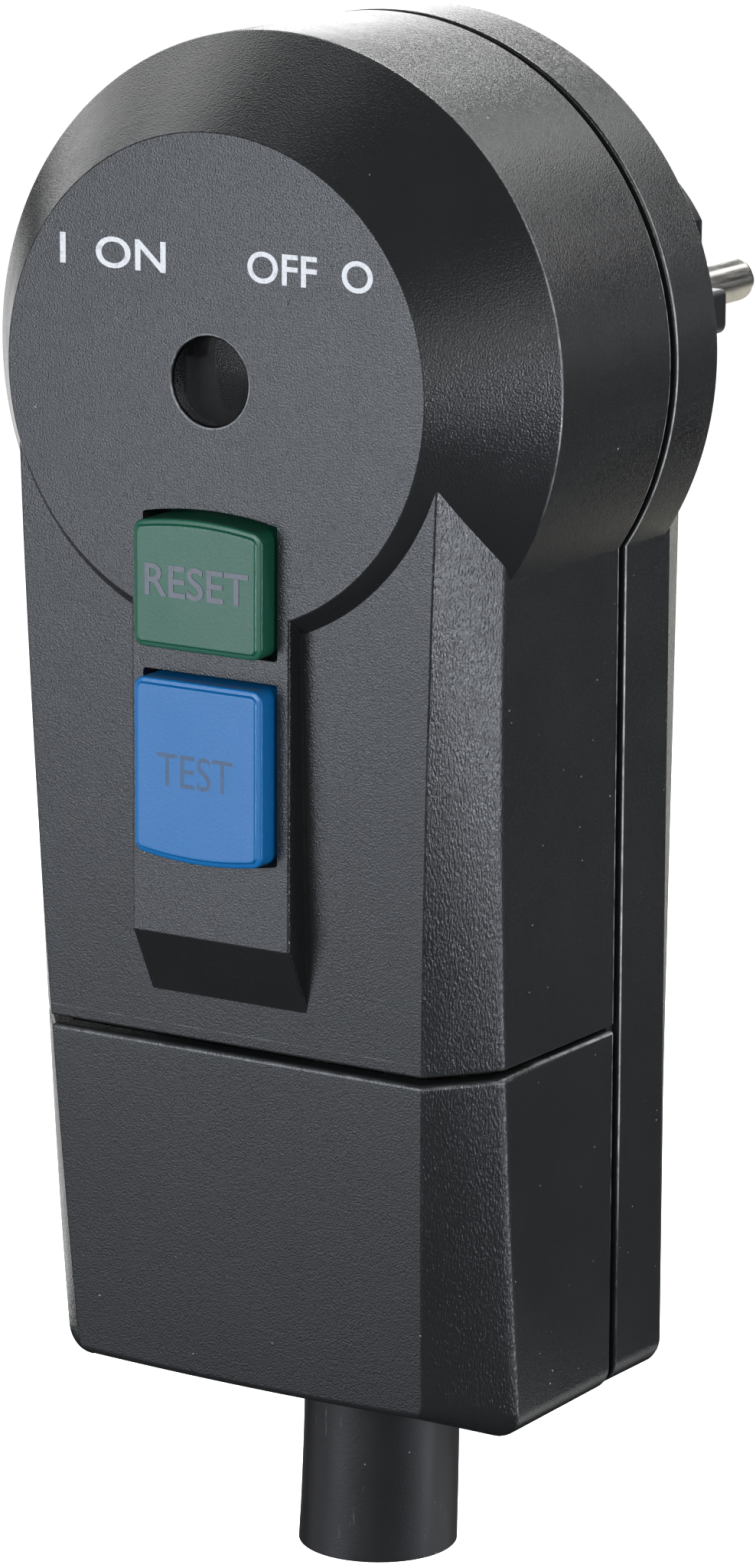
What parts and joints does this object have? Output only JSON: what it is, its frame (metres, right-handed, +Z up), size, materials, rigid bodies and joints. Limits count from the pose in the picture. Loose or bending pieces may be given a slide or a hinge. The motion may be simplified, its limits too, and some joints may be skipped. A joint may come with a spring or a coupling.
{
  "type": "portable residual-current plug",
  "caption": "Rewirable mains plug with a built-in residual-current trip: round head with pins at the back, chamfered body, sprung reset and test buttons, terminal cover and rubber cable sleeve.",
  "frame": {"origin": "on the plug boss's engagement face, midway between the two pins", "axes": "+Y along the pins, away from the housing; +Z up, from the cable sleeve to the head; +X to the right seen from the front"},
  "size_m": [0.068, 0.0916, 0.1645],
  "materials": {
    "shell_black": "fine spark-eroded texture",
    "insert_black": "satin moulded",
    "rubber_black": "dull",
    "button_green": "semi-gloss moulded",
    "button_blue": "semi-gloss moulded",
    "lens_clear": "clear, faintly smoked",
    "nickel": "nickel plated",
    "brass": "plain",
    "steel": "zinc plated",
    "spring_steel": "drawn wire",
    "soft_iron": "stamped",
    "frame_ivory": "moulded",
    "carrier_red": "moulded",
    "drum_red": "black front, red behind",
    "copper": "copper alloy",
    "board_green": "solder mask",
    "core_grey": "coated",
    "chip_black": "moulded",
    "component_blue": "dipped",
    "component_tan": "dipped",
    "wire_brown": "insulation",
    "wire_blue": "insulation",
    "wire_green": "insulation"
  },
  "bodies": {
    "housing": {"front_housing": "shell_black", "rear_housing": "shell_black", "terminal_cover": "shell_black", "plug_insert": "insert_black", "housing_gasket": "rubber_black", "cable_sleeve": "rubber_black", "window_lens": "lens_clear", "line_pin": "nickel", "neutral_pin": "nickel", "earth_strap": "nickel", "earth_socket": "brass", "housing_screws": "steel", "cover_screws": "steel", "board_screws": "steel", "terminal_screws": "steel", "cord_clamp_screws": "steel", "drum_axle": "steel", "reset_spring": "spring_steel", "test_spring": "spring_steel", "carrier_spring": "spring_steel", "solenoid_yoke": "soft_iron", "mechanism_frame": "frame_ivory", "solenoid_bobbin": "frame_ivory", "terminal_block": "frame_ivory", "cord_clamp": "frame_ivory", "fixed_contacts": "copper", "solenoid_coil": "copper", "toroid_winding": "copper", "test_contact": "copper", "terminal_clamps": "brass", "circuit_board": "board_green", "toroid_core": "core_grey", "control_chip": "chip_black", "capacitors": "component_blue", "varistor": "component_blue", "resistors": "component_tan", "line_wire": "wire_brown", "neutral_wire": "wire_blue", "earth_wire": "wire_green"},
    "reset_button": {"reset_button": "button_green"},
    "test_button": {"test_button": "button_blue"},
    "carrier": {"contact_carrier": "carrier_red", "moving_contacts": "copper", "armature": "soft_iron"},
    "indicator": {"indicator_drum": "drum_red"}
  },
  "joints": [
    {"name": "reset_press", "type": "slide", "parent": "housing", "child": "reset_button", "axis": [0, 1, 0], "range_m": [0, 0.003], "stiffness_N_per_m": 400, "springref_m": -0.004, "deforming": ["reset_spring"]},
    {"name": "test_press", "type": "slide", "parent": "housing", "child": "test_button", "axis": [0, 1, 0], "range_m": [0, 0.002], "stiffness_N_per_m": 400, "springref_m": -0.004, "deforming": ["test_spring"]},
    {"name": "carrier_slide", "type": "slide", "parent": "housing", "child": "carrier", "axis": [0, 1, 0], "range_m": [0, 0.003], "stiffness_N_per_m": 200, "springref_m": -0.003, "deforming": ["carrier_spring"]},
    {"name": "indicator_turn", "type": "hinge", "parent": "housing", "child": "indicator", "pos_m": [0, -0.054, 0], "axis": [1, 0, 0], "range_deg": [0, 57.3]}
  ],
  "couplings": [
    {"joint": "carrier_slide", "follows": "reset_press", "ratio": 1},
    {"joint": "indicator_turn", "follows": "reset_press", "rad_per_m": 333.33}
  ]
}
